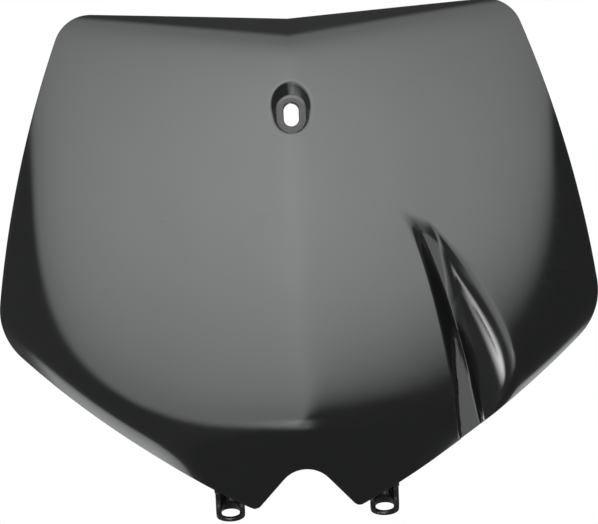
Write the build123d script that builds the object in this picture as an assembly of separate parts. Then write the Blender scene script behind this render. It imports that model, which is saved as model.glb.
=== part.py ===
from build123d import *
import os
from math import cos, hypot, radians, sin, sqrt, tan

# Racing number board for the front of an off-road motorbike, one moulded shell, in millimetres.
# Facing the board: x runs to the right, y runs back through it and z runs up.
# The origin is the middle of the fixing slot, on its washer seat.

# Wall of the moulding
wall = 2.5

# Outline from the front, right half; the corners are the ones before rounding
top_centre_z = 41.5
top_corner_x = 96.4
top_corner_z = 47.9
top_corner_radius = 16.0
side_corner_x = 132.2
side_corner_z = -90.8
side_corner_radius = 27.0
side_bow = 4.9
bottom_point_x = 22.2
bottom_point_z = -171.4
bottom_point_radius = 3.0
lower_bow = 5.0
notch_peak_z = -147.2
notch_radius = 13.2

# Front face: a shallow vee about the centre crease, bowed both ways
vee_angle = 5.0
crease_softness = 4.0
across_radius = 1100.0
down_radius = 900.0
crest_z = -45.0

# Shield-shaped flat of the face, past which the skirt turns back
shield_half_width = 116.0
shield_shoulder_z = -20.0
shield_drop = 115.0
shield_power = 3.0
skirt_angle = 32.0
skirt_blend = 8.0

# Brow that leans back along the top edge
brow_centre_z = 33.0
brow_corner_z = 47.0
brow_angle = 29.0
brow_blend = 5.0

# Rolled margin along the lower edge, which dies away towards the bottom point
roll_margin = 4.5
roll_blend = 4.0
roll_angle = 54.0
roll_start_x = 40.0
roll_full_x = 70.0

# Washer seat and upright slot for an M6 screw
slot_width = 6.5
slot_length = 10.6
seat_border = 3.2
seat_tilt = 14.0
seat_sill = 0.3
pocket_draft = 48.0
pocket_reach = 16.0

# Hose recess on the right: scoop between two rims that open towards the lower edge
recess_top_z = -47.0
recess_end_z = -150.0
left_rim_top_x = 48.7
left_rim_end_x = 66.3
left_rim_bow = 3.9
right_rim_top_x = 56.0
right_rim_end_x = 105.0
right_rim_bow = 7.4
valley_top_x = 54.0
valley_end_x = 81.0
valley_bow = 1.2
valley_top_depth = 2.5
valley_end_depth = 20.0
valley_depth_bow = 2.2
right_wall_top_width = 0.5
right_wall_end_width = 8.0
right_wall_bow = 1.2
right_wall_angle = 49.0
ramp_floor_end_depth = 27.3
floor_lean = 0.03
recess_reach = 14.0
recess_stations = 4

# Hose gutter along the foot of the recess
gutter_top_z = -93.0
gutter_top_x = 66.3
gutter_end_x = 68.6
gutter_end_drop = 4.0
gutter_left_draft = 7.0
gutter_right_draft = 30.0
gutter_reach = 34.0
gutter_ridge_shift = 0.6

# Peg eyes under the lower edge, leaning forward at the top
peg_diameter = 7.6
peg_clearance = 0.4
eye_wall = 2.3
eye_x = 33.8
eye_y = 39.8
eye_z = -172.2
eye_tilt = 21.0
cheek_draft = 2.0
strap_height = 1.6
strap_relief = 0.03
half_tube_height = 18.0
half_tube_land = 1.5
cheek_start_height = 8.0
cheek_reach = 3.4
web_height = 12.0
web_reach = 12.0

# Spacing of the computed stations on the skin, how far it runs past the outline, and its fit
skin_step = 6.0
skin_spare = 8.0
skin_fit = 0.25
clear_depth = 90.0


def ramp(distance, blend):
    """Zero before a fold line and the distance past it, rounded over the blend."""
    return (distance + sqrt(distance * distance + blend * blend)) / 2


def ease(value):
    """Smooth step from 0 to 1."""
    held = min(1.0, max(0.0, value))
    return held * held * (3 - 2 * held)


def bowed_edge(start, end, bow):
    """Centre and radius of the arc from start to end that bows out to the right."""
    chord = hypot(end[0] - start[0], end[1] - start[1])
    radius = (chord * chord / 4 + bow * bow) / (2 * bow)
    out_x = (start[1] - end[1]) / chord
    out_z = (end[0] - start[0]) / chord
    centre_x = (start[0] + end[0]) / 2 + out_x * (bow - radius)
    centre_z = (start[1] + end[1]) / 2 + out_z * (bow - radius)
    return centre_x, centre_z, radius


top_corner = (top_corner_x, top_corner_z)
side_corner = (side_corner_x, side_corner_z)
bottom_point = (bottom_point_x, bottom_point_z)
side_arc = bowed_edge(top_corner, side_corner, side_bow)
lower_arc = bowed_edge(side_corner, bottom_point, lower_bow)


def inside(arc, x, z):
    """Distance from a point of the board in to an edge arc."""
    return arc[2] - hypot(x - arc[0], z - arc[1])


seat_width = slot_width + 2 * seat_border
seat_length = slot_length + 2 * seat_border
sill_z = -seat_length / 2 * cos(radians(seat_tilt))
sill_y = -seat_length / 2 * sin(radians(seat_tilt)) - seat_sill


def bow_down(z):
    """Depth of the face below its crest, down the crease."""
    return (z - crest_z) ** 2 / (2 * down_radius)


def face_y(x, z):
    """Depth of the open face, without its skirt, brow and rolled margin."""
    vee = tan(radians(vee_angle)) * (hypot(x, crease_softness) - crease_softness)
    return sill_y + bow_down(z) - bow_down(sill_z) + vee + x * x / (2 * across_radius)


def skin_y(x, z):
    """Depth of the front skin."""
    across = abs(x)
    drop = max(0.0, shield_shoulder_z - z) / shield_drop
    spread = ((across / shield_half_width) ** shield_power + drop**shield_power) ** (1 / shield_power)
    skirt = ramp(shield_half_width * (spread - 1), skirt_blend)
    brow_rise = (brow_corner_z - brow_centre_z) / top_corner_x
    brow = ramp(z - brow_centre_z - brow_rise * across, brow_blend)
    roll = ramp(roll_margin - inside(lower_arc, across, z), roll_blend)
    fade = ease((across - roll_start_x) / (roll_full_x - roll_start_x))
    return (
        face_y(x, z)
        + tan(radians(skirt_angle)) * skirt
        + tan(radians(brow_angle)) * brow
        + tan(radians(roll_angle)) * fade * roll
    )


def stations(low, high):
    """Evenly spaced values about a step apart."""
    count = round((high - low) / skin_step)
    return [low + (high - low) * i / count for i in range(count + 1)]


def make_skin():
    """Front skin as one surface, larger than the board all round."""
    reach = side_corner_x + skin_spare
    rows = stations(bottom_point_z - skin_spare, top_corner_z + skin_spare)
    grid = [[Vector(x, skin_y(x, z), z) for z in rows] for x in stations(-reach, reach)]
    return Face.make_surface_from_array_of_points(grid, tol=skin_fit)


def corners_at(sketch, x, z):
    """The corner at a place on the outline and its mirror image."""
    return [v for v in sketch.vertices() if hypot(abs(v.X) - x, v.Y - z) < wall]


def make_outline():
    """Outline of the board from the front, as a sketch."""
    half = Curve() + [
        Line((0, top_centre_z), top_corner),
        SagittaArc(top_corner, side_corner, side_bow),
        SagittaArc(side_corner, bottom_point, lower_bow),
        Line(bottom_point, (0, notch_peak_z)),
    ]
    sketch = make_face((half + mirror(half, Plane.YZ)).edges())
    sketch = fillet(corners_at(sketch, *top_corner), top_corner_radius)
    sketch = fillet(corners_at(sketch, *side_corner), side_corner_radius)
    sketch = fillet(corners_at(sketch, *bottom_point), bottom_point_radius)
    return fillet(corners_at(sketch, 0, notch_peak_z), notch_radius)


skin = make_skin()
outline = extrude(Plane.XZ * make_outline(), amount=clear_depth, both=True)
shell = thicken(skin.intersect(outline)[0], amount=-wall)

# Space in front of the middle of the wall, where nothing that backs the skin may reach
front = extrude(Pos(0, wall / 2, 0) * skin, amount=clear_depth, dir=(0, -1, 0))

# Washer seat
seat = Plane(origin=(0, 0, 0), x_dir=(1, 0, 0), z_dir=(0, -cos(radians(seat_tilt)), sin(radians(seat_tilt))))


def seat_outline(height, grow):
    """The seat's upright outline, grown all round, at a height along the screw."""
    return seat.offset(height) * SlotOverall(seat_length + 2 * grow, seat_width + 2 * grow, rotation=90)


draft = radians(pocket_draft)
flare = pocket_reach * tan(draft)
pocket = loft([seat_outline(0, 0), seat_outline(pocket_reach, flare)], ruled=True)
boss = loft(
    [
        seat_outline(-wall, wall * (1 - sin(draft)) / cos(draft)),
        seat_outline(pocket_reach, flare + wall / cos(draft)),
    ],
    ruled=True,
)
slot_cut = extrude(seat * SlotOverall(slot_length, slot_width, rotation=90), amount=2 * wall, both=True)


# Hose recess
def bowed(start, end, bow, t):
    """Value along a bowed line, t from 0 to 1."""
    return start + (end - start) * t + 4 * bow * t * (1 - t)


def on_face(x, z, depth):
    """A point at a depth below the open face."""
    return Vector(x, face_y(x, z) + depth, z)


def valley_depth(t):
    return bowed(valley_top_depth, valley_end_depth, valley_depth_bow, t)


def valley_x(t):
    return bowed(valley_top_x, valley_end_x, valley_bow, t)


def recess_t(z):
    return (recess_top_z - z) / (recess_top_z - recess_end_z)


def forward(rim, foot, reach):
    """A point out in front of the face, on the line from foot through rim."""
    return rim + (rim - foot).normalized() * reach


def section(points, grow):
    """A level section of a cutter, grown all round by a wall where asked."""
    flat = make_face(Polyline(*points, close=True))
    return offset(flat, amount=grow, kind=Kind.INTERSECTION) if grow else flat


def recess_z(t):
    return recess_top_z + (recess_end_z - recess_top_z) * t


def scoop_section(t, grow):
    """Level section of the scoop: steep left wall, easy slope and right wall."""
    z = recess_z(t)
    left = on_face(bowed(left_rim_top_x, left_rim_end_x, left_rim_bow, t), z, 0)
    right_x = bowed(right_rim_top_x, right_rim_end_x, right_rim_bow, t)
    right = on_face(right_x, z, 0)
    valley = on_face(valley_x(t), z, valley_depth(t))
    width = bowed(right_wall_top_width, right_wall_end_width, right_wall_bow, t)
    foot = on_face(right_x - width, z, width * tan(radians(right_wall_angle)))
    reach = recess_reach
    return section([forward(left, valley, reach), valley, foot, forward(right, foot, reach)], grow)


def scoop(grow):
    """The recess without its gutter: a vee between the rims over a floor that ramps in from the face."""
    body = loft([scoop_section(i / (recess_stations - 1), grow) for i in range(recess_stations)])
    start = on_face(left_rim_top_x, recess_top_z, grow)
    end = on_face(valley_end_x, recess_end_z, ramp_floor_end_depth + grow)
    across = Vector(1, -floor_lean, 0)
    floor = Plane(origin=start, x_dir=across, z_dir=across.cross(end - start))
    return split(body, bisect_by=floor, keep=Keep.BOTTOM)


def gutter_section(t, grow):
    """Level section of the gutter, from the foot of the left wall to the end of the easy slope."""
    s = (t - recess_t(gutter_top_z)) / (1 - recess_t(gutter_top_z))
    drop = gutter_end_drop * s
    left_x = bowed(gutter_top_x, gutter_end_x, 0, s)
    right_x = valley_x(t) + gutter_ridge_shift - drop * tan(radians(gutter_right_draft))
    depth = valley_depth(t) + drop
    z = recess_z(t)
    left = on_face(left_x, z, depth)
    right = Vector(right_x, left.Y - floor_lean * (right_x - left_x), z)
    to_left = Vector(-sin(radians(gutter_left_draft)), -cos(radians(gutter_left_draft)), 0)
    to_right = Vector(sin(radians(gutter_right_draft)), -cos(radians(gutter_right_draft)), 0)
    points = [left + to_left * gutter_reach, left, right, right + to_right * gutter_reach]
    return section(points, grow)


def gutter(grow):
    top = recess_t(gutter_top_z)
    return loft([gutter_section(top, grow), gutter_section((1 + top) / 2, grow), gutter_section(1, grow)])


# Peg eyes
bore_radius = (peg_diameter + peg_clearance) / 2
eye_radius = bore_radius + eye_wall
lean = radians(eye_tilt)
cheek_lean = radians(cheek_draft)


def eye_plane(side, height):
    """Level of an eye, square to its peg; the peg leans forward as it rises."""
    along = Vector(0, -sin(lean), cos(lean))
    foot = Vector(side * eye_x, eye_y, eye_z)
    return Plane(origin=foot + along * height, x_dir=(1, 0, 0), z_dir=along)


def forward_run(radius, reach):
    """Straight-sided run that leaves a round where it touches it and opens forward by the draft."""
    start_x = radius * cos(cheek_lean)
    start_y = radius * sin(cheek_lean)
    end_x = start_x + (start_y + reach) * tan(cheek_lean)
    corners = [(start_x, start_y), (end_x, -reach), (-end_x, -reach), (-start_x, start_y)]
    return make_face(Polyline(*corners, close=True))


def half_tube(reach):
    """Half tube behind the peg with two drafted cheeks that run forward."""
    cheeks = forward_run(eye_radius, reach)
    channel = forward_run(bore_radius, 2 * reach)
    return Circle(eye_radius) + cheeks - Circle(bore_radius) - channel


def peg_eye(side):
    """Half tube open to the front above a half ring strap, so both draw straight from the mould."""
    base = eye_plane(side, 0)
    profile = Polyline(
        (eye_radius, 0),
        (eye_radius, web_height),
        (-cheek_reach, web_height),
        (-half_tube_land, cheek_start_height),
        (-half_tube_land, 0),
        close=True,
    )
    upright = Plane(origin=base.origin, x_dir=base.y_dir, z_dir=(1, 0, 0))
    tube = extrude(base * half_tube(cheek_reach), amount=web_height)
    tube = tube & extrude(upright * make_face(profile), amount=2 * eye_radius, both=True)
    web = extrude(eye_plane(side, web_height) * half_tube(web_reach), amount=half_tube_height - web_height)
    front_half = Pos(0, half_tube_land - eye_radius) * Rectangle(4 * eye_radius, 2 * eye_radius)
    ring = Circle(eye_radius) - Circle(bore_radius + strap_relief)
    strap = extrude(base * (ring & front_half), amount=-strap_height)
    return tube + strap + (web - front)


# Everything that stands behind the skin, then the shell with it, then the cuts from the front
backing = ((boss + scoop(wall) + gutter(wall)) & outline) - front
board = shell + [backing, peg_eye(-1), peg_eye(1)]
board = board - [pocket, slot_cut, scoop(0), gutter(0)]

os.makedirs("parts", exist_ok=True)
export_step(board, "parts/number_board.step")
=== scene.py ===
from bisect import bisect_right
from math import asin, atan2, cos, exp, hypot, pi, radians, sin, sqrt, tan

import bmesh
import bpy
from mathutils import Matrix, Vector


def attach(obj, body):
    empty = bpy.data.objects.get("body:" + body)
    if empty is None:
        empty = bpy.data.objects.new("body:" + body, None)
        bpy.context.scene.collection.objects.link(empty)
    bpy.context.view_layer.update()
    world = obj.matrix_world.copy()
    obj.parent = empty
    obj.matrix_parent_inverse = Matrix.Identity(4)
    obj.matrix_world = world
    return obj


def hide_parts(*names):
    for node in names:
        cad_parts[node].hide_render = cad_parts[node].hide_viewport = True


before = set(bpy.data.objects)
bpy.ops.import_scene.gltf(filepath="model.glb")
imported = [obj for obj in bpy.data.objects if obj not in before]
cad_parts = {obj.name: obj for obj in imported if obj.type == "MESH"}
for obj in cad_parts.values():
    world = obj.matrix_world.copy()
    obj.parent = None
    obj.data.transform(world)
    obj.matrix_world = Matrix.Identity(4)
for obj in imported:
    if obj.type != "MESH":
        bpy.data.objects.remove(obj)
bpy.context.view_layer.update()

scene = bpy.context.scene
scene.view_settings.view_transform = "Standard"
mm = 0.001

# Moulded shell, in millimetres: x to the right, y back through the board, z up
board = {
    "wall": 2.5,
    "topCentre": (0.0, 41.5),
    "topCorner": (96.4, 47.9),
    "topRadius": 16.0,
    "sideCorner": (132.2, -90.8),
    "sideRadius": 27.0,
    "sideBow": 4.9,
    "bottomPoint": (22.2, -171.4),
    "bottomRadius": 3.0,
    "lowerBow": 5.0,
    "notchPeak": (0.0, -147.2),
    "notchRadius": 13.2,
    "veeAngle": 5.0,
    "creaseSoftness": 4.0,
    "acrossRadius": 1100.0,
    "downRadius": 900.0,
    "crestZ": -45.0,
    "shieldHalfWidth": 116.0,
    "shieldShoulderZ": -20.0,
    "shieldDrop": 115.0,
    "shieldPower": 3.0,
    "skirtAngle": 32.0,
    "skirtBlend": 8.0,
    "browCentreZ": 33.0,
    "browCornerZ": 47.0,
    "browAngle": 29.0,
    "browBlend": 5.0,
    "rollMargin": 4.5,
    "rollBlend": 4.0,
    "rollAngle": 54.0,
    "rollFade": (40.0, 70.0),
    "edgeRound": 0.45,
    "edgeSegments": 3,
    "sharpAngle": 50.0,
    "smoothAngle": 38.0,
    "arcSteps": {"top": 12, "edge": 120, "side": 16, "notch": 16, "point": 14},
    "seatPatch": (14.0, 21.0, -14.0),
    "leftColumns": 84,
    "rightColumns": 168,
    "rows": 150,
}


# Plan curves of the right half
def unit(start, end):
    length = hypot(end[0] - start[0], end[1] - start[1])
    return (end[0] - start[0]) / length, (end[1] - start[1]) / length


def bowedEdge(start, end, bow):  # centre and radius of an arc that bows outwards
    chord = hypot(end[0] - start[0], end[1] - start[1])
    radius = (chord * chord / 4 + bow * bow) / (2 * bow)
    alongX, alongZ = unit(start, end)
    shift = bow - radius
    return (start[0] + end[0]) / 2 - alongZ * shift, (start[1] + end[1]) / 2 + alongX * shift, radius


def lineMeetsRound(point, along, centre, radius):  # far crossing of a line and a circle
    gapX, gapZ = point[0] - centre[0], point[1] - centre[1]
    half = gapX * along[0] + gapZ * along[1]
    reach = sqrt(half * half - gapX * gapX - gapZ * gapZ + radius * radius) - half
    return point[0] + along[0] * reach, point[1] + along[1] * reach


def roundsMeet(first, firstRadius, second, secondRadius):  # right-hand crossing of two circles
    gap = hypot(second[0] - first[0], second[1] - first[1])
    alongX, alongZ = unit(first, second)
    reach = (gap * gap + firstRadius**2 - secondRadius**2) / (2 * gap)
    side = sqrt(firstRadius**2 - reach * reach)
    footX, footZ = first[0] + alongX * reach, first[1] + alongZ * reach
    return max((footX + alongZ * side, footZ - alongX * side), (footX - alongZ * side, footZ + alongX * side))


def touchPoint(centre, corner, radius):  # where a corner's round touches an edge arc
    alongX, alongZ = unit(centre, corner)
    return corner[0] + alongX * radius, corner[1] + alongZ * radius


def sweep(centre, start, end, steps):  # points along an arc, the short way round
    first = atan2(start[1] - centre[1], start[0] - centre[0])
    turn = (atan2(end[1] - centre[1], end[0] - centre[0]) - first + pi) % (2 * pi) - pi
    radius = hypot(start[0] - centre[0], start[1] - centre[1])
    angles = [first + turn * step / steps for step in range(steps + 1)]
    return [(centre[0] + radius * cos(a), centre[1] + radius * sin(a)) for a in angles]


def walk(points):  # place along a run of points, 0 to 1 by length
    lengths = [0.0]
    for start, end in zip(points, points[1:]):
        lengths.append(lengths[-1] + hypot(end[0] - start[0], end[1] - start[1]))

    def place(part):
        want = part * lengths[-1]
        k = min(max(bisect_right(lengths, want), 1), len(points) - 1)
        span = lengths[k] - lengths[k - 1]
        f = (want - lengths[k - 1]) / span if span else 0.0
        (x0, z0), (x1, z1) = points[k - 1], points[k]
        return x0 + (x1 - x0) * f, z0 + (z1 - z0) * f

    return place


sideArc = bowedEdge(board["topCorner"], board["sideCorner"], board["sideBow"])
lowerArc = bowedEdge(board["sideCorner"], board["bottomPoint"], board["lowerBow"])


def planCurves():
    topWay = unit(board["topCentre"], board["topCorner"])
    topIn = (topWay[1] * board["topRadius"], -topWay[0] * board["topRadius"])
    topStart = (board["topCentre"][0] + topIn[0], board["topCentre"][1] + topIn[1])
    topRound = lineMeetsRound(topStart, topWay, sideArc, sideArc[2] - board["topRadius"])
    topTouch = (topRound[0] - topIn[0], topRound[1] - topIn[1])
    topMiddle = sweep(topRound, topTouch, touchPoint(sideArc, topRound, board["topRadius"]), 2)[1]

    sideReach, lowerReach = sideArc[2] - board["sideRadius"], lowerArc[2] - board["sideRadius"]
    sideRound = roundsMeet(sideArc, sideReach, lowerArc, lowerReach)
    sideTouch = touchPoint(sideArc, sideRound, board["sideRadius"])
    lowerTouch = touchPoint(lowerArc, sideRound, board["sideRadius"])
    sideMiddle = sweep(sideRound, sideTouch, lowerTouch, 2)[1]

    notchWay = unit(board["notchPeak"], board["bottomPoint"])
    notchIn = (-notchWay[1], notchWay[0])
    notchRound = (0.0, board["notchPeak"][1] - board["notchRadius"] / notchWay[0])
    notchTop = (0.0, notchRound[1] + board["notchRadius"])
    notchTouch = tuple(notchRound[k] + notchIn[k] * board["notchRadius"] for k in (0, 1))
    pointStart = tuple(board["notchPeak"][k] + notchIn[k] * board["bottomRadius"] for k in (0, 1))
    pointRound = lineMeetsRound(pointStart, notchWay, lowerArc, lowerArc[2] - board["bottomRadius"])
    pointTouch = tuple(pointRound[k] - notchIn[k] * board["bottomRadius"] for k in (0, 1))
    pointEnd = touchPoint(lowerArc, pointRound, board["bottomRadius"])

    steps = board["arcSteps"]
    top = [board["topCentre"]] + sweep(topRound, topTouch, topMiddle, steps["top"])
    side = sweep(topRound, topMiddle, touchPoint(sideArc, topRound, board["topRadius"]), steps["top"])
    side += sweep(sideArc, side[-1], sideTouch, steps["edge"])[1:]
    side += sweep(sideRound, sideTouch, sideMiddle, steps["side"])[1:]
    bottom = sweep(notchRound, notchTop, notchTouch, steps["notch"])
    bottom += sweep(pointRound, pointTouch, pointEnd, steps["point"])
    bottom += sweep(lowerArc, pointEnd, lowerTouch, steps["edge"])[1:]
    bottom += sweep(sideRound, lowerTouch, sideMiddle, steps["side"])[1:]
    return walk(top), walk(side), walk(bottom)


topCurve, sideCurve, bottomCurve = planCurves()


def patch(u, v):  # plan place in the right half: u from crease to side, v from top to bottom
    topEnd, corner = topCurve(1), bottomCurve(1)
    highZ, lowZ = board["topCentre"][1], bottomCurve(0)[1]
    tX, tZ = topCurve(u)
    bX, bZ = bottomCurve(u)
    sX, sZ = sideCurve(v)
    creaseZ = highZ + (lowZ - highZ) * v
    x = (1 - v) * tX + v * bX + u * sX - u * (1 - v) * topEnd[0] - u * v * corner[0]
    z = (1 - v) * tZ + v * bZ + (1 - u) * creaseZ + u * sZ
    z -= (1 - u) * ((1 - v) * highZ + v * lowZ) + u * ((1 - v) * topEnd[1] + v * corner[1])
    return x, z


# Front skin
def ramp(distance, blend):
    return (distance + sqrt(distance * distance + blend * blend)) / 2


def ease(value):
    held = min(1.0, max(0.0, value))
    return held * held * (3 - 2 * held)


def inside(arc, x, z):  # distance in from an edge arc
    return arc[2] - hypot(x - arc[0], z - arc[1])


# Washer seat with an upright slot; the slot and the seat are one outline, grown by different amounts
seat = {
    "slotWidth": 6.5,
    "slotLength": 10.6,
    "border": 3.2,
    "tilt": 14.0,
    "sill": 0.3,
    "draft": 48.0,
    "rimRound": 0.7,
    "slotRound": 0.3,
    "footRound": 0.5,
    "frontRings": (3.2, 1.5),
    "seatRings": (0.4, 1.6),
    "rearInset": 0.7,
    "rearRound": 0.6,
    "rearRings": (0.8, 2.4),
}
seatStraight = (seat["slotLength"] - seat["slotWidth"]) / 2
seatRadius = seat["slotWidth"] / 2 + seat["border"]
seatSin, seatCos = sin(radians(seat["tilt"])), cos(radians(seat["tilt"]))
draftTan = tan(radians(seat["draft"]))
sillZ = -(seatStraight + seatRadius) * seatCos
sillY = -(seatStraight + seatRadius) * seatSin - seat["sill"]


def faceY(x, z):  # open face, without its skirt and rolled edges
    bow = ((z - board["crestZ"]) ** 2 - (sillZ - board["crestZ"]) ** 2) / (2 * board["downRadius"])
    vee = tan(radians(board["veeAngle"])) * (hypot(x, board["creaseSoftness"]) - board["creaseSoftness"])
    return sillY + bow + vee + x * x / (2 * board["acrossRadius"])


def skinY(x, z):
    across = abs(x)
    power = board["shieldPower"]
    drop = max(0.0, board["shieldShoulderZ"] - z) / board["shieldDrop"]
    spread = ((across / board["shieldHalfWidth"]) ** power + drop**power) ** (1 / power)
    skirt = ramp(board["shieldHalfWidth"] * (spread - 1), board["skirtBlend"])
    browRise = (board["browCornerZ"] - board["browCentreZ"]) / board["topCorner"][0]
    brow = ramp(z - board["browCentreZ"] - browRise * across, board["browBlend"])
    roll = ramp(board["rollMargin"] - inside(lowerArc, across, z), board["rollBlend"])
    start, full = board["rollFade"]
    roll *= tan(radians(board["rollAngle"])) * ease((across - start) / (full - start))
    y = faceY(x, z) + tan(radians(board["skirtAngle"])) * skirt + tan(radians(board["browAngle"])) * brow
    return y + roll


def skinNormal(x, z):  # unit normal of the skin, pointing back
    step = 0.05
    slopeX = (skinY(x + step, z) - skinY(x - step, z)) / (2 * step)
    slopeZ = (skinY(x, z + step) - skinY(x, z - step)) / (2 * step)
    return Vector((-slopeX, 1, -slopeZ)).normalized()


# Hose recess: start, end and bow of each line down its length
hose = {
    "topZ": -47.0,
    "endZ": -150.0,
    "leftRim": (48.7, 66.3, 3.9),
    "rightRim": (56.0, 105.0, 7.4),
    "valley": (54.0, 81.0, 1.2),
    "valleyDepth": (2.5, 20.0, 2.2),
    "rightWall": (0.5, 8.0, 1.2),
    "rightAngle": 49.0,
    "floorDepth": 27.3,
    "lean": 0.03,
    "gutterTopZ": -93.0,
    "gutterLeft": (66.3, 68.6, 0.0),
    "gutterDrop": 4.0,
    "leftDraft": 7.0,
    "rightDraft": 30.0,
    "ridgeShift": 0.6,
    "gutterRunIn": 6.0,
    "gutterRise": 4.0,
    "reach": 40.0,
    "aboveTop": (12.0, 16.0),
    "rimRound": (1.1, 6.0),
    "topRound": 1.6,
    "rimFade": (0.2, 0.25),
    "valleyRound": 0.9,
    "footRound": (0.3, 3.4),
    "footFade": 0.3,
    "gutterRound": 0.8,
    "ridgeRound": 2.2,
    "backRound": 2.4,
}


def bowed(line, t):
    start, end, bow = line
    return start + (end - start) * t + 4 * bow * t * (1 - t)


def roundMax(a, b, blend):
    return max(a, b) + max(0.0, blend - abs(a - b)) ** 2 / (4 * blend)


def roundMin(a, b, blend):
    return min(a, b) - max(0.0, blend - abs(a - b)) ** 2 / (4 * blend)


def hoseSection(z):  # corners of the recess at a level, as x and y
    length = hose["topZ"] - hose["endZ"]
    t = (hose["topZ"] - z) / length
    s = (hose["gutterTopZ"] - z) / (hose["gutterTopZ"] - hose["endZ"])
    left, right, valley = (bowed(hose[name], t) for name in ("leftRim", "rightRim", "valley"))
    depth = bowed(hose["valleyDepth"], t)
    width = max(0.3, bowed(hose["rightWall"], t))
    drop = hose["gutterDrop"] * max(0.0, s)
    gutterLeft = bowed(hose["gutterLeft"], max(0.0, s))
    gutterRight = valley + hose["ridgeShift"] - drop * tan(radians(hose["rightDraft"]))
    gutterY = faceY(gutterLeft, z) + depth + drop
    return {
        "t": t,
        "s": s,
        "left": (left, faceY(left, z)),
        "valley": (valley, faceY(valley, z) + depth),
        "foot": (right - width, faceY(right - width, z) + width * tan(radians(hose["rightAngle"]))),
        "right": (right, faceY(right, z)),
        "gutterLeft": (gutterLeft, gutterY),
        "gutterRight": (gutterRight, gutterY - hose["lean"] * (gutterRight - gutterLeft)),
    }


def wallY(x, corner, slope, grow):  # straight wall through a corner, moved back by a thickness
    return corner[1] + (x - corner[0]) * slope + grow * sqrt(1 + slope * slope)


def slopeTo(start, end):
    return (end[1] - start[1]) / (end[0] - start[0])


def floorY(x, z):  # floor that ramps in from the face
    topX, endX = hose["leftRim"][0], hose["valley"][1]
    start = faceY(topX, hose["topZ"])
    end = faceY(endX, hose["endZ"]) + hose["floorDepth"]
    fall = (end - start + hose["lean"] * (endX - topX)) / (hose["topZ"] - hose["endZ"])
    return start - hose["lean"] * (x - topX) + fall * (hose["topZ"] - z)


def hoseY(x, z, grow):  # front of the recess, or its back when grown by a wall
    at = hoseSection(z)
    blend = hose["backRound"] if grow else hose["valleyRound"]
    leftWall = wallY(x, at["valley"], slopeTo(at["left"], at["valley"]), grow)
    slope = wallY(x, at["valley"], slopeTo(at["valley"], at["foot"]), grow)
    rightWall = wallY(x, at["right"], slopeTo(at["foot"], at["right"]), grow)
    least, more = hose["footRound"]
    footBlend = blend if grow else more * ease(at["t"] / hose["footFade"]) + least
    scoop = roundMin(roundMin(leftWall, slope, blend), rightWall, footBlend)
    scoop = roundMin(scoop, floorY(x, z) + grow, blend)
    runIn = (hose["gutterTopZ"] + grow - z) / hose["gutterRunIn"]
    if runIn < 0:
        return scoop
    blend = hose["backRound"] if grow else hose["gutterRound"]
    leftSide = wallY(x, at["gutterLeft"], 1 / tan(radians(hose["leftDraft"])), grow)
    rightSide = wallY(x, at["gutterRight"], -1 / tan(radians(hose["rightDraft"])), grow)
    bed = wallY(x, at["gutterLeft"], -hose["lean"], grow)
    gutter = roundMin(roundMin(leftSide, rightSide, blend), bed, blend)
    gutter -= hose["gutterRise"] * (1 - ease(runIn))
    return roundMax(scoop, gutter, blend if grow else hose["ridgeRound"])


def rimRound(x, z):  # the rim over the slope is the softer one
    at = hoseSection(z)
    left, right = hose["rimRound"]
    part = (x - at["valley"][0]) / max(1.0, at["right"][0] - at["valley"][0])
    topFade, rightFade = hose["rimFade"]
    soft = left + (hose["topRound"] - left) * (1 - ease(at["t"] / topFade))
    return soft + (right - left) * ease(part) * ease(at["t"] / rightFade)


def frontPoint(x, z):
    y = skinY(x, z)
    if x > hose["reach"] and z < hose["topZ"] + hose["aboveTop"][0]:
        y = roundMax(y, hoseY(x, z, 0), rimRound(x, z))
    return Vector((x, y, z))


def backPoint(x, z):
    point = Vector((x, skinY(x, z), z)) + skinNormal(x, z) * board["wall"]
    if x > hose["reach"] - board["wall"] and z < hose["topZ"] + hose["aboveTop"][1]:
        point.y = roundMax(point.y, hoseY(point.x, point.z, board["wall"]), hose["backRound"])
    return point


# Grid lines crowd towards the crease, the edges and the lines of the recess, each with a weight and a reach
crowding = {
    "crease": (2.0, 7.0),
    "side": (1.6, 9.0),
    "top": (2.2, 8.0),
    "bottom": (2.6, 8.0),
    "recess": (
        ("left", 0.0, 4.0, 1.8),
        ("left", -1.4, 2.0, 1.2),
        ("foot", 0.0, 3.0, 1.4),
        ("right", 0.0, 3.6, 1.8),
        ("right", 1.2, 2.0, 1.2),
    ),
    "gutter": (
        ("gutterLeft", -0.3, 9.0, 0.7),
        ("gutterLeft", -2.8, 6.0, 0.8),
        ("gutterRight", 0.0, 4.0, 0.9),
        ("gutterRight", 1.6, 4.0, 1.0),
    ),
    "valley": (("valley", 0.0, 3.0, 1.6),),
    "lowest": 8.0,
    "rowSteps": 600,
    "columnSteps": 500,
}


def bell(distance, weight, reach):
    return weight * exp(-((distance / reach) ** 2))


def crowd(x, z, recess):
    thick = 1 + bell(x, *crowding["crease"]) + bell(inside(sideArc, x, z), *crowding["side"])
    if not recess:
        return thick
    at = hoseSection(max(z, hose["endZ"] - crowding["lowest"]))
    shown = ease((at["t"] + 0.22) / 0.26)
    low = ease((at["s"] + 0.25) / 0.3)
    for group, share in (("recess", 1.0), ("gutter", low), ("valley", 1 - low)):
        for name, shift, weight, reach in crowding[group]:
            thick += shown * share * bell(x - at[name][0] - shift, weight, reach)
    return thick


def spreadEven(marks, count):  # positions 0 to 1 that share out a running total evenly
    spots, k, last = [], 0, len(marks) - 1
    for i in range(count + 1):
        want = marks[-1] * i / count
        while k < last - 1 and marks[k + 1] < want:
            k += 1
        spots.append((k + (want - marks[k]) / (marks[k + 1] - marks[k])) / last)
    return spots


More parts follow.
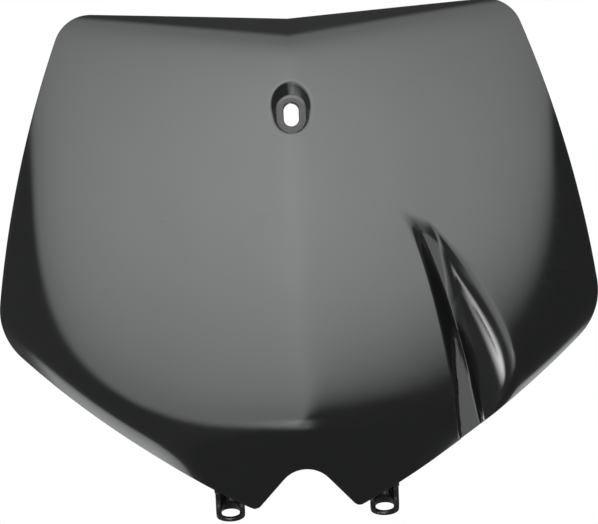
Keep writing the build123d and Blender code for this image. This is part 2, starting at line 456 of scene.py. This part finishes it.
def rowPlaces(count):
    length = board["topCentre"][1] - bottomCurve(0)[1]
    steps = crowding["rowSteps"]
    marks = [0.0]
    for k in range(steps):
        down = length * (k + 0.5) / steps
        marks.append(marks[-1] + 1 + bell(down, *crowding["top"]) + bell(length - down, *crowding["bottom"]))
    return spreadEven(marks, count)


def columnPlaces(v, count, recess):
    steps = crowding["columnSteps"]
    marks = [0.0]
    previous = patch(0, v)
    for k in range(steps):
        x, z = patch((k + 1) / steps, v)
        span = hypot(x - previous[0], z - previous[1])
        marks.append(marks[-1] + span * crowd((x + previous[0]) / 2, (z + previous[1]) / 2, recess))
        previous = (x, z)
    return spreadEven(marks, count)


def planGrid():  # plan places of all grid points, by column and row
    leftCount, rightCount = board["leftColumns"], board["rightColumns"]
    spots = {}
    for row, v in enumerate(rowPlaces(board["rows"])):
        for k, u in enumerate(columnPlaces(v, leftCount, False)):
            x, z = patch(u, v)
            spots[leftCount - k, row] = (-x, z)
        for k, u in enumerate(columnPlaces(v, rightCount, True)):
            spots[leftCount + k, row] = patch(u, v)
    return spots


def addSheet(bm, spots, shape, hole):
    columns = board["leftColumns"] + board["rightColumns"]
    rows = board["rows"]
    made = bmesh.ops.create_grid(bm, x_segments=columns, y_segments=rows, size=1)["verts"]
    places = {}
    for vert in made:
        key = (round((vert.co.x + 1) / 2 * columns), round((1 - vert.co.y) / 2 * rows))
        places[key] = vert
    for key, vert in places.items():
        vert.co = shape(*spots[key]) * mm
    firstColumn, lastColumn, firstRow, lastRow = hole
    inner = [
        vert
        for (i, j), vert in places.items()
        if firstColumn < i < lastColumn and firstRow < j < lastRow
    ]
    bmesh.ops.delete(bm, geom=inner, context="VERTS")
    border = {}
    for i in range(firstColumn, lastColumn + 1):
        for j in range(firstRow, lastRow + 1):
            if i in (firstColumn, lastColumn) or j in (firstRow, lastRow):
                border[i, j] = places[i, j]
    rim = [
        vert
        for (i, j), vert in places.items()
        if i in (0, columns) or j in (0, rows)
    ]
    return border, rim


def seatPoint(angle, grow, height):  # on the seat's grown outline, at a height along the screw
    radius = seatRadius + grow
    wayX, wayUp = cos(angle), sin(angle)
    if abs(wayX) * seatStraight >= abs(wayUp) * radius:
        across, up = (radius if wayX > 0 else -radius), radius / abs(wayX) * wayUp
    else:
        centre = seatStraight if wayUp > 0 else -seatStraight
        reach = centre * wayUp + sqrt(radius * radius - (centre * wayX) ** 2)
        across, up = wayX * reach, wayUp * reach
    return Vector((across, up * seatSin - height * seatCos, up * seatCos + height * seatSin))


def seatRim(angle, surface, start, base):  # growth at which the drafted wall meets a surface
    low, high = start, start + 20.0
    for _ in range(40):
        middle = (low + high) / 2
        point = seatPoint(angle, middle, base + (middle - start) / draftTan)
        if point.y > surface(point.x, point.z):
            low = middle
        else:
            high = middle
    return (low + high) / 2


def backY(x, z):  # back of the plain wall, as a depth
    return skinY(x, z) + board["wall"] / skinNormal(x, z).y


def seatRings(angle, backPlace):
    wall, soft = board["wall"], seat["rimRound"]
    rim = seatRim(angle, skinY, 0.0, 0.0)
    rimHeight = rim / draftTan

    def onFront(grow):
        point = seatPoint(angle, grow, rimHeight)
        return Vector((point.x, skinY(point.x, point.z), point.z))

    outer = onFront(rim + soft)
    low = max(rim - soft, 0.45 * rim)
    inner = seatPoint(angle, low, low / draftTan)
    peak = seatPoint(angle, rim, rimHeight)
    foot = min(seat["footRound"], 0.25 * rim)
    edge = seat["border"] - seat["slotRound"]
    rings = [onFront(rim + spread) for spread in seat["frontRings"]]
    rings += [outer, (outer + peak * 2 + inner) / 4, inner]
    rings += [seatPoint(angle, foot, foot / draftTan)]
    rings += [seatPoint(angle, -inset, 0) for inset in seat["seatRings"]]
    rings += [seatPoint(angle, -edge, 0), seatPoint(angle, -seat["border"], -seat["slotRound"])]
    rings += [seatPoint(angle, -seat["border"], seat["slotRound"] - wall), seatPoint(angle, -edge, -wall)]

    start = wall * (1 - sin(radians(seat["draft"]))) / cos(radians(seat["draft"]))
    rear = seatRim(angle, backY, start, -wall)
    rearHeight = (rear - start) / draftTan - wall

    def onBack(grow):
        point = seatPoint(angle, grow, rearHeight)
        return Vector((point.x, backY(point.x, point.z), point.z))

    step = min(seat["rearRound"], 0.4 * (rear - start))
    rings += [seatPoint(angle, start - seat["rearInset"], -wall)]
    rings += [seatPoint(angle, start + 0.3 * step, 0.25 * step / draftTan - wall)]
    rings += [seatPoint(angle, rear - step, rearHeight - step / draftTan)]
    rings += [onBack(rear + spread) for spread in seat["rearRings"]]
    return rings + [backPlace]


def addSeat(bm, frontBorder, backBorder, spots):
    keys = {vert: key for key, vert in frontBorder.items()}
    loop = [edge for edge in bm.edges if edge.is_boundary and all(vert in keys for vert in edge.verts)]
    rings = {}
    for key in frontBorder:
        x, z = spots[key]
        up = z / seatCos
        rings[key] = seatRings(atan2(up, x), backBorder[key].co / mm)
    count = len(next(iter(rings.values())))
    for ring in range(count):
        made = bmesh.ops.extrude_edge_only(bm, edges=loop)["geom"]
        loop = [g for g in made if isinstance(g, bmesh.types.BMEdge) and g.is_boundary]
        fresh = {}
        for vert in (g for g in made if isinstance(g, bmesh.types.BMVert)):
            old = next(e.other_vert(vert) for e in vert.link_edges if e.other_vert(vert) in keys)
            fresh[vert] = keys[old]
        for vert, key in fresh.items():
            vert.co = rings[key][ring] * mm
        keys = fresh


# Peg eyes: half tube behind, half ring strap in front; local y runs back and local z along the peg
eye = {
    "place": (33.8, 39.8, -172.2),
    "tilt": 21.0,
    "bore": 4.0,
    "wall": 2.3,
    "strapHeight": 1.6,
    "land": 1.5,
    "levels": (0.0, 4.0, 8.0, 12.0, 12.4, 14.2, 16.0, 18.0),
    "reach": (1.5, 1.5, 1.5, 3.4),
    "draft": 2.0,
    "strapLap": 0.15,
    "round": 0.35,
    "segments": 20,
}


def eyeFrame(side):
    tilt = radians(eye["tilt"])
    x, y, z = eye["place"]
    return Matrix.Translation((side * x, y, z)) @ Matrix.Rotation(tilt, 4, "X")


def spinWall(bm, levels, start, turn):  # upright wall strip turned about the peg's axis
    inner, outer = eye["bore"], eye["bore"] + eye["wall"]
    bottom = [bm.verts.new((r * cos(start), r * sin(start), levels[0])) for r in (inner, outer)]
    run = [bm.edges.new(bottom)]
    faces = []
    for below, level in zip(levels, levels[1:]):
        made = bmesh.ops.extrude_edge_only(bm, edges=run)["geom"]
        run = [g for g in made if isinstance(g, bmesh.types.BMEdge) and len(g.link_faces) == 1]
        verts = [g for g in made if isinstance(g, bmesh.types.BMVert)]
        run = [e for e in run if all(v in verts for v in e.verts)]
        faces += [g for g in made if isinstance(g, bmesh.types.BMFace)]
        bmesh.ops.translate(bm, verts=verts, vec=(0, 0, level - below))
    geom = faces + list({e for f in faces for e in f.edges}) + list({v for f in faces for v in f.verts})
    end = bmesh.ops.spin(
        bm, geom=geom, cent=(0, 0, 0), axis=(0, 0, 1), angle=turn, steps=eye["segments"], use_duplicate=False
    )["geom_last"]
    return faces, [g for g in end if isinstance(g, bmesh.types.BMFace)]


def wallReach(place, x, level):  # how far forward the web runs to the middle of the shell's wall
    low, high = -20.0, 6.0
    for _ in range(40):
        middle = (low + high) / 2
        point = place @ Vector((x, middle, level))
        if point.y > skinY(point.x, point.z) + 0.55 * board["wall"] / skinNormal(point.x, point.z).y:
            high = middle
        else:
            low = middle
    return high


def makeEye(side):
    place = eyeFrame(side)
    bm = bmesh.new()
    levels = eye["levels"]
    first, last = spinWall(bm, levels, 0.0, pi)
    for faces in (first, last):
        made = bmesh.ops.extrude_face_region(bm, geom=faces)["geom"]
        for vert in (g for g in made if isinstance(g, bmesh.types.BMVert)):
            k = min(range(len(levels)), key=lambda n: abs(levels[n] - vert.co.z))
            if k < len(eye["reach"]):
                vert.co.y = -eye["reach"][k]
            else:
                vert.co.y = wallReach(place, vert.co.x, vert.co.z)
            spread = -vert.co.y * tan(radians(eye["draft"]))
            vert.co.x += spread if vert.co.x > 0 else -spread
        bmesh.ops.delete(bm, geom=[f for f in faces if f.is_valid], context="FACES_ONLY")
    bmesh.ops.remove_doubles(bm, verts=bm.verts, dist=1e-4)
    bmesh.ops.recalc_face_normals(bm, faces=bm.faces)
    tube = bm
    strap = bmesh.new()
    spare = asin(eye["land"] / (eye["bore"] + eye["wall"] / 2))
    spinWall(strap, (-eye["strapHeight"], eye["strapLap"]), spare, -(pi + 2 * spare))
    bmesh.ops.remove_doubles(strap, verts=strap.verts, dist=1e-4)
    bmesh.ops.recalc_face_normals(strap, faces=strap.faces)
    pieces = []
    for name, part in (("tube", tube), ("strap", strap)):
        sharp = [e for e in part.edges if e.calc_face_angle(0) > radians(board["sharpAngle"])]
        bmesh.ops.bevel(
            part, geom=sharp, offset=eye["round"], offset_type="OFFSET", segments=2, profile=0.5,
            affect="EDGES", material=-1, clamp_overlap=True,
        )
        bmesh.ops.transform(part, matrix=Matrix.Scale(mm, 4) @ place, verts=part.verts)
        bmesh.ops.recalc_face_normals(part, faces=part.faces)
        pieces.append(linkMesh(name + ("Left" if side < 0 else "Right"), part))
    return pieces


def linkMesh(name, bm):
    mesh = bpy.data.meshes.new(name)
    bm.to_mesh(mesh)
    bm.free()
    piece = bpy.data.objects.new(name, mesh)
    scene.collection.objects.link(piece)
    return piece


def fuse(piece, others):  # one closed skin out of overlapping pieces
    for other in others:
        joint = piece.modifiers.new("fuse", "BOOLEAN")
        joint.operation = "UNION"
        joint.solver = "EXACT"
        joint.object = other
    graph = bpy.context.evaluated_depsgraph_get()
    mesh = bpy.data.meshes.new_from_object(piece.evaluated_get(graph))
    piece.modifiers.clear()
    piece.data = mesh
    for other in others:
        bpy.data.objects.remove(other)


marks = {
    "wornAngle": (9.0, 40.0),
    "dustyAngle": (3.0, 24.0),
    "spread": 3,
    "share": 0.62,
    "rearTurn": (0.1, 0.5),
}


def soften(bm, values):  # share each value with its neighbours
    kept = dict(values)
    for vert in bm.verts:
        around = [kept[e.other_vert(vert)] for e in vert.link_edges]
        values[vert] = max(marks["share"] * max(around), kept[vert]) if around else kept[vert]


def markSurface(bm):  # worn edges, dusty corners and the rear, as values for the plastic
    for name in ("worn", "dusty", "rear"):
        bm.verts.layers.float.new(name)
    layers = [bm.verts.layers.float[name] for name in ("worn", "dusty", "rear")]
    worn = {vert: 0.0 for vert in bm.verts}
    dusty = dict(worn)
    for e in bm.edges:
        turn = e.calc_face_angle_signed(0)
        for values, angle, limits in ((worn, turn, "wornAngle"), (dusty, -turn, "dustyAngle")):
            low, high = (radians(limit) for limit in marks[limits])
            amount = ease((angle - low) / (high - low))
            for vert in e.verts:
                values[vert] = max(values[vert], amount)
    for _ in range(marks["spread"]):
        soften(bm, worn)
        soften(bm, dusty)
    low, high = marks["rearTurn"]
    for vert in bm.verts:
        vert[layers[0]] = worn[vert]
        vert[layers[1]] = dusty[vert]
        vert[layers[2]] = ease((vert.normal.y - low) / (high - low))


def makeBoard():
    spots = planGrid()
    print("board plan: %d points a sheet" % len(spots))
    leftCount = board["leftColumns"]
    reach, high, low = board["seatPatch"]
    rowZ = [spots[leftCount, j][1] for j in range(board["rows"] + 1)]
    firstRow = max(j for j, z in enumerate(rowZ) if z > high)
    lastRow = min(j for j, z in enumerate(rowZ) if z < low)
    middleRow = (firstRow + lastRow) // 2
    firstColumn = max(i for i in range(leftCount) if spots[i, middleRow][0] < -reach)
    lastColumn = min(i for i in range(leftCount, 2 * leftCount) if spots[i, middleRow][0] > reach)
    hole = (firstColumn, lastColumn, firstRow, lastRow)

    bm = bmesh.new()
    frontBorder, frontRim = addSheet(bm, spots, frontPoint, hole)
    backBorder, backRim = addSheet(bm, spots, backPoint, hole)
    rimVerts = set(frontRim) | set(backRim)
    rimEdges = [e for e in bm.edges if e.is_boundary and all(v in rimVerts for v in e.verts)]
    bmesh.ops.bridge_loops(bm, edges=rimEdges)
    addSeat(bm, frontBorder, backBorder, spots)
    bmesh.ops.remove_doubles(bm, verts=bm.verts, dist=1e-6)
    bmesh.ops.recalc_face_normals(bm, faces=bm.faces)
    rimEdges = [e for e in bm.edges if all(v in rimVerts for v in e.verts)]
    rimEdges = [e for e in rimEdges if e.calc_face_angle(0) > radians(board["sharpAngle"])]
    bmesh.ops.bevel(
        bm, geom=rimEdges, offset=board["edgeRound"] * mm, offset_type="OFFSET",
        segments=board["edgeSegments"], profile=0.5, affect="EDGES", material=-1, clamp_overlap=True,
    )
    print("board shell: %d faces, %d open edges" % (len(bm.faces), sum(e.is_boundary for e in bm.edges)))
    piece = linkMesh("number_board_moulding", bm)
    eyes = makeEye(-1) + makeEye(1)
    fuse(piece, eyes)
    bm = bmesh.new()
    bm.from_mesh(piece.data)
    bmesh.ops.remove_doubles(bm, verts=bm.verts, dist=1e-6)
    for face in bm.faces:
        face.smooth = True
    for e in bm.edges:
        e.smooth = e.calc_face_angle(0) < radians(board["smoothAngle"])
    openCount = sum(not e.is_manifold for e in bm.edges)
    print("board with peg eyes: %d faces, %d open edges" % (len(bm.faces), openCount))
    markSurface(bm)
    bm.to_mesh(piece.data)
    bm.free()
    return piece


# Node helpers
def mathNode(nodes, links, kind, first, second=None):
    node = nodes.new("ShaderNodeMath")
    node.operation = kind
    for k, value in enumerate((first, second)):
        if value is None:
            continue
        if isinstance(value, (int, float)):
            node.inputs[k].default_value = value
        else:
            links.new(value, node.inputs[k])
    return node.outputs[0]


def softStep(nodes, links, value, start, end):
    node = nodes.new("ShaderNodeMapRange")
    node.interpolation_type = "SMOOTHSTEP"
    node.inputs["From Min"].default_value = start
    node.inputs["From Max"].default_value = end
    links.new(value, node.inputs["Value"])
    return node.outputs["Result"]


# Gloss black plastic
plastic = {
    "colour": (0.0085, 0.0088, 0.0088, 1.0),
    "wornColour": (0.036, 0.037, 0.037, 1.0),
    "dustColour": (0.060, 0.058, 0.054, 1.0),
    "roughness": (0.10, 0.17),
    "rearRoughness": 0.16,
    "ior": 1.5,
    "smudgeScale": 17.0,
    "smudgeEdge": (0.32, 0.70),
    "grainScale": 420.0,
    "speckleEdge": (0.48, 0.66),
    "mix": {"worn": 0.6, "scuff": 0.10, "dust": 0.35, "film": 0.022},
    "rougher": {"worn": 0.12, "dust": 0.20, "scuff": 0.09},
    "peelScale": 620.0,
    "peelDepth": 0.0000022,
    "flowScale": (26.0, 26.0, 7.0),
    "flowDepth": 0.000018,
    "scuffScale": (60.0, 60.0, 520.0),
    "scuffTurns": ((0.3, 0.5, 0.2), (-0.4, 0.9, 1.3)),
    "scuffEdge": (0.66, 0.74),
    "scuffPatchScale": 31.0,
    "scuffPatchEdge": (0.50, 0.68),
}


def noiseNode(nodes, links, vector, scale, detail):
    node = nodes.new("ShaderNodeTexNoise")
    node.inputs["Scale"].default_value = scale
    node.inputs["Detail"].default_value = detail
    links.new(vector, node.inputs["Vector"])
    return node.outputs["Fac"]


def mixColour(nodes, links, amount, first, second):
    node = nodes.new("ShaderNodeMix")
    node.data_type = "RGBA"
    links.new(amount, node.inputs["Factor"])
    for socket, value in ((node.inputs[6], first), (node.inputs[7], second)):
        if isinstance(value, tuple):
            socket.default_value = value
        else:
            links.new(value, socket)
    return node.outputs[2]


def makeScuffs():  # faint hairline scuffs in two directions, as a mask
    group = bpy.data.node_groups.new("hairline_scuffs", "ShaderNodeTree")
    group.interface.new_socket("Vector", in_out="INPUT", socket_type="NodeSocketVector")
    group.interface.new_socket("Mask", in_out="OUTPUT", socket_type="NodeSocketFloat")
    nodes, links = group.nodes, group.links
    given, made = nodes.new("NodeGroupInput"), nodes.new("NodeGroupOutput")
    patches = noiseNode(nodes, links, given.outputs["Vector"], plastic["scuffPatchScale"], 2.0)
    patches = softStep(nodes, links, patches, *plastic["scuffPatchEdge"])
    total = 0.0
    for turn in plastic["scuffTurns"]:
        turned = nodes.new("ShaderNodeMapping")
        turned.inputs["Rotation"].default_value = turn
        turned.inputs["Scale"].default_value = plastic["scuffScale"]
        links.new(given.outputs["Vector"], turned.inputs["Vector"])
        streak = noiseNode(nodes, links, turned.outputs[0], 1.0, 1.0)
        streak = softStep(nodes, links, streak, *plastic["scuffEdge"])
        total = mathNode(nodes, links, "ADD", streak, total)
    masked = mathNode(nodes, links, "MULTIPLY", total, patches)
    links.new(masked, made.inputs["Mask"])
    return group


def makePlastic():
    material = bpy.data.materials.new("gloss_black_plastic")
    material.use_nodes = True
    nodes, links = material.node_tree.nodes, material.node_tree.links
    shader = nodes["Principled BSDF"]
    shader.inputs["IOR"].default_value = plastic["ior"]
    places = nodes.new("ShaderNodeTexCoord").outputs["Object"]

    def calc(kind, first, second=None):
        return mathNode(nodes, links, kind, first, second)

    def kept(name):
        node = nodes.new("ShaderNodeAttribute")
        node.attribute_name = name
        return node.outputs["Fac"]

    smudge = noiseNode(nodes, links, places, plastic["smudgeScale"], 5.0)
    smudge = softStep(nodes, links, smudge, *plastic["smudgeEdge"])
    speckle = noiseNode(nodes, links, places, plastic["grainScale"], 3.0)
    speckle = softStep(nodes, links, speckle, *plastic["speckleEdge"])
    scuffs = nodes.new("ShaderNodeGroup")
    scuffs.node_tree = makeScuffs()
    links.new(places, scuffs.inputs["Vector"])
    scuff = scuffs.outputs["Mask"]
    worn = calc("MULTIPLY", kept("worn"), calc("ADD", calc("MULTIPLY", speckle, 0.7), 0.3))
    dust = calc("MULTIPLY", kept("dusty"), calc("ADD", calc("MULTIPLY", smudge, 0.5), 0.2))
    dust = calc("MULTIPLY", dust, calc("ADD", calc("MULTIPLY", speckle, 0.6), 0.4))
    mix = plastic["mix"]
    film = calc("MULTIPLY", calc("MULTIPLY", smudge, speckle), mix["film"])
    dusted = calc("ADD", calc("MULTIPLY", dust, mix["dust"]), film)

    colour = plastic["colour"]
    colour = mixColour(nodes, links, calc("MULTIPLY", worn, mix["worn"]), colour, plastic["wornColour"])
    colour = mixColour(nodes, links, calc("MULTIPLY", scuff, mix["scuff"]), colour, plastic["wornColour"])
    colour = mixColour(nodes, links, dusted, colour, plastic["dustColour"])
    links.new(colour, shader.inputs["Base Color"])

    low, high = plastic["roughness"]
    rough = calc("ADD", calc("MULTIPLY", smudge, high - low), low)
    rough = calc("ADD", rough, calc("MULTIPLY", kept("rear"), plastic["rearRoughness"]))
    for mask, name in ((worn, "worn"), (dust, "dust"), (scuff, "scuff")):
        rough = calc("ADD", rough, calc("MULTIPLY", mask, plastic["rougher"][name]))
    links.new(rough, shader.inputs["Roughness"])

    stretched = nodes.new("ShaderNodeMapping")
    stretched.inputs["Scale"].default_value = plastic["flowScale"]
    links.new(places, stretched.inputs["Vector"])
    normal = None
    for height, depth in (
        (noiseNode(nodes, links, stretched.outputs[0], 1.0, 1.0), plastic["flowDepth"]),
        (noiseNode(nodes, links, places, plastic["peelScale"], 1.0), plastic["peelDepth"]),
    ):
        bump = nodes.new("ShaderNodeBump")
        bump.inputs["Distance"].default_value = depth
        links.new(height, bump.inputs["Height"])
        if normal:
            links.new(normal, bump.inputs["Normal"])
        normal = bump.outputs[0]
    links.new(normal, shader.inputs["Normal"])
    print("plastic ready")
    return material


# Studio: pale floor, white backdrop, and for reflections a dark room with a soft window around the camera
studio = {
    "floorZ": -0.262,
    "floorHalf": 1.3,
    "floorColour": (0.78, 0.78, 0.78, 1.0),
    "floorRoughness": 0.6,
    "domeRadius": 4.0,
    "dark": 0.26,
    "top": 0.5,
    "topEdge": (0.7, 1.6),
    "lowRight": 0.17,
    "window": 2.4,
    "windowEdge": (1.30, 0.85),
    "glow": 3.5,
    "glowAt": (-0.05, 0.05),
    "glowSize": (0.52, 0.30),
    "cornerAt": (0.20, -0.32),
    "cornerSlopes": (1.97, 0.49),
    "cornerEdge": 0.20,
    "tint": (0.975, 1.0, 0.988, 1.0),
    "strips": (
        {"turn": (-106, -121), "tilt": (-30, -34, -66, -60), "strength": 2.1},
        {"turn": (128, 133), "tilt": (-25, -29, -42, -37), "strength": 2.5},
        {"turn": (12, 4, -18, -9), "tilt": (-34, -38, -54, -46), "strength": 1.9},
    ),
    "fill": 0.55,
}


def makeDome():
    bm = bmesh.new()
    bmesh.ops.create_uvsphere(bm, u_segments=64, v_segments=32, radius=studio["domeRadius"])
    dome = linkMesh("studio_surround", bm)
    material = bpy.data.materials.new("studio_window")
    material.use_nodes = True
    nodes, links = material.node_tree.nodes, material.node_tree.links
    nodes.clear()
    places = nodes.new("ShaderNodeTexCoord")
    parts = nodes.new("ShaderNodeSeparateXYZ")
    links.new(places.outputs["Object"], parts.inputs[0])

    def calc(kind, first, second=None):
        return mathNode(nodes, links, kind, first, second)

    depth = calc("MAXIMUM", calc("MULTIPLY", parts.outputs["Y"], -1.0), 0.001)
    across, up = (calc("DIVIDE", parts.outputs[axis], depth) for axis in "XZ")
    reach = calc("SQRT", calc("ADD", calc("MULTIPLY", across, across), calc("MULTIPLY", up, up)))
    window = softStep(nodes, links, reach, *studio["windowEdge"])
    past = calc("SUBTRACT", across, studio["cornerAt"][0])
    steep, easy = (calc("MULTIPLY", past, slope) for slope in studio["cornerSlopes"])
    corner = calc("ADD", calc("MINIMUM", steep, easy), studio["cornerAt"][1])
    above = softStep(nodes, links, calc("SUBTRACT", up, corner), -studio["cornerEdge"], studio["cornerEdge"])
    glowX = calc("DIVIDE", calc("SUBTRACT", across, studio["glowAt"][0]), studio["glowSize"][0])
    glowZ = calc("DIVIDE", calc("SUBTRACT", up, studio["glowAt"][1]), studio["glowSize"][1])
    spread = calc("ADD", calc("MULTIPLY", glowX, glowX), calc("MULTIPLY", glowZ, glowZ))
    centre = calc("MULTIPLY", calc("EXPONENT", calc("MULTIPLY", spread, -1.0)), studio["glow"])
    lit = calc("ADD", calc("MULTIPLY", window, studio["window"]), centre)
    lit = calc("MULTIPLY", lit, above)
    rest = softStep(nodes, links, up, *studio["topEdge"])
    rest = calc("MULTIPLY", rest, studio["top"] - studio["dark"])
    rest = calc("ADD", rest, calc("MULTIPLY", above, studio["dark"] - studio["lowRight"]))
    strength = calc("ADD", lit, calc("ADD", rest, studio["lowRight"]))
    turn = calc("ARCTAN2", parts.outputs["X"], calc("MULTIPLY", parts.outputs["Y"], -1.0))
    height = calc("DIVIDE", parts.outputs["Z"], studio["domeRadius"])
    for strip in studio["strips"]:  # low lit strips, which the rolled edges and the recess's floor show
        shown = strip["strength"]
        for k in range(0, len(strip["turn"]), 2):
            ends = (radians(angle) for angle in strip["turn"][k:k + 2])
            shown = calc("MULTIPLY", softStep(nodes, links, turn, *ends), shown)
        for k in range(0, len(strip["tilt"]), 2):
            ends = (sin(radians(angle)) for angle in strip["tilt"][k:k + 2])
            shown = calc("MULTIPLY", softStep(nodes, links, height, *ends), shown)
        strength = calc("ADD", strength, shown)
    glow = nodes.new("ShaderNodeEmission")
    glow.inputs["Color"].default_value = studio["tint"]
    links.new(strength, glow.inputs["Strength"])
    out = nodes.new("ShaderNodeOutputMaterial")
    links.new(glow.outputs[0], out.inputs["Surface"])
    dome.data.materials.append(material)
    dome.visible_camera = False
    dome.visible_diffuse = False
    dome.visible_shadow = False
    dome.visible_transmission = False


def makeFloor():
    bm = bmesh.new()
    bmesh.ops.create_grid(bm, x_segments=2, y_segments=2, size=studio["floorHalf"])
    bmesh.ops.translate(bm, verts=bm.verts, vec=(0, 0, studio["floorZ"]))
    floor = linkMesh("studio_floor", bm)
    material = bpy.data.materials.new("pale_floor")
    material.use_nodes = True
    shader = material.node_tree.nodes["Principled BSDF"]
    shader.inputs["Base Color"].default_value = studio["floorColour"]
    shader.inputs["Roughness"].default_value = studio["floorRoughness"]
    floor.data.materials.append(material)
    floor.visible_glossy = False


def makeWorld():
    world = bpy.data.worlds.new("white_surround")
    scene.world = world
    world.use_nodes = True
    nodes, links = world.node_tree.nodes, world.node_tree.links
    nodes.clear()
    path = nodes.new("ShaderNodeLightPath")
    seen = mathNode(nodes, links, "MAXIMUM", path.outputs["Is Camera Ray"], path.outputs["Is Glossy Ray"])
    seen = mathNode(nodes, links, "MAXIMUM", seen, path.outputs["Is Transmission Ray"])
    strength = mathNode(nodes, links, "MULTIPLY", seen, 1.0 - studio["fill"])
    strength = mathNode(nodes, links, "ADD", strength, studio["fill"])
    glow = nodes.new("ShaderNodeBackground")
    glow.inputs["Color"].default_value = (1, 1, 1, 1)
    links.new(strength, glow.inputs["Strength"])
    out = nodes.new("ShaderNodeOutputWorld")
    links.new(glow.outputs[0], out.inputs["Surface"])


lamps = {
    "key": {
        "place": (-0.5, -1.6, 1.1), "aim": (0, 0, -0.06), "size": 0.9,
        "watts": 22.0, "spread": 180, "gloss": False,
    },
    "recess": {
        "place": (-0.116, -0.071, -0.250), "aim": (0.087, 0.004, -0.104), "size": 0.09,
        "watts": 0.0075, "spread": 26, "gloss": True,
    },
}


def makeLamps():
    for name, facts in lamps.items():
        light = bpy.data.lights.new(name, "AREA")
        light.size = facts["size"]
        light.energy = facts["watts"]
        light.spread = radians(facts["spread"])
        lamp = bpy.data.objects.new(name, light)
        lamp.location = facts["place"]
        way = Vector(facts["aim"]) - Vector(facts["place"])
        lamp.rotation_euler = way.to_track_quat("-Z", "Y").to_euler()
        lamp.visible_camera = False
        lamp.visible_glossy = facts["gloss"]
        lamp.visible_diffuse = not facts["gloss"]
        scene.collection.objects.link(lamp)


# Camera square to the board, 2 m away and turned a little, as the photograph was taken
view = {"distance": 2.0, "aimX": 0.0007, "aimZ": -0.0636, "roll": 2.4, "fieldWidth": 0.25714}


def makeCamera():
    data = bpy.data.cameras.new("front_camera")
    data.sensor_width = 36
    data.lens = 36 * view["distance"] / view["fieldWidth"]
    camera = bpy.data.objects.new("front_camera", data)
    s, c = sin(radians(view["roll"])), cos(radians(view["roll"]))
    camera.matrix_world = Matrix(
        ((c, s, 0, view["aimX"]), (0, 0, -1, -view["distance"]), (-s, c, 0, view["aimZ"]), (0, 0, 0, 1))
    )
    scene.collection.objects.link(camera)
    scene.camera = camera


makeCamera()
piece = makeBoard()
piece.data.materials.clear()
piece.data.materials.append(makePlastic())
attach(piece, "root")
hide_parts("number_board")
makeFloor()
makeDome()
makeWorld()
makeLamps()
print("studio ready")
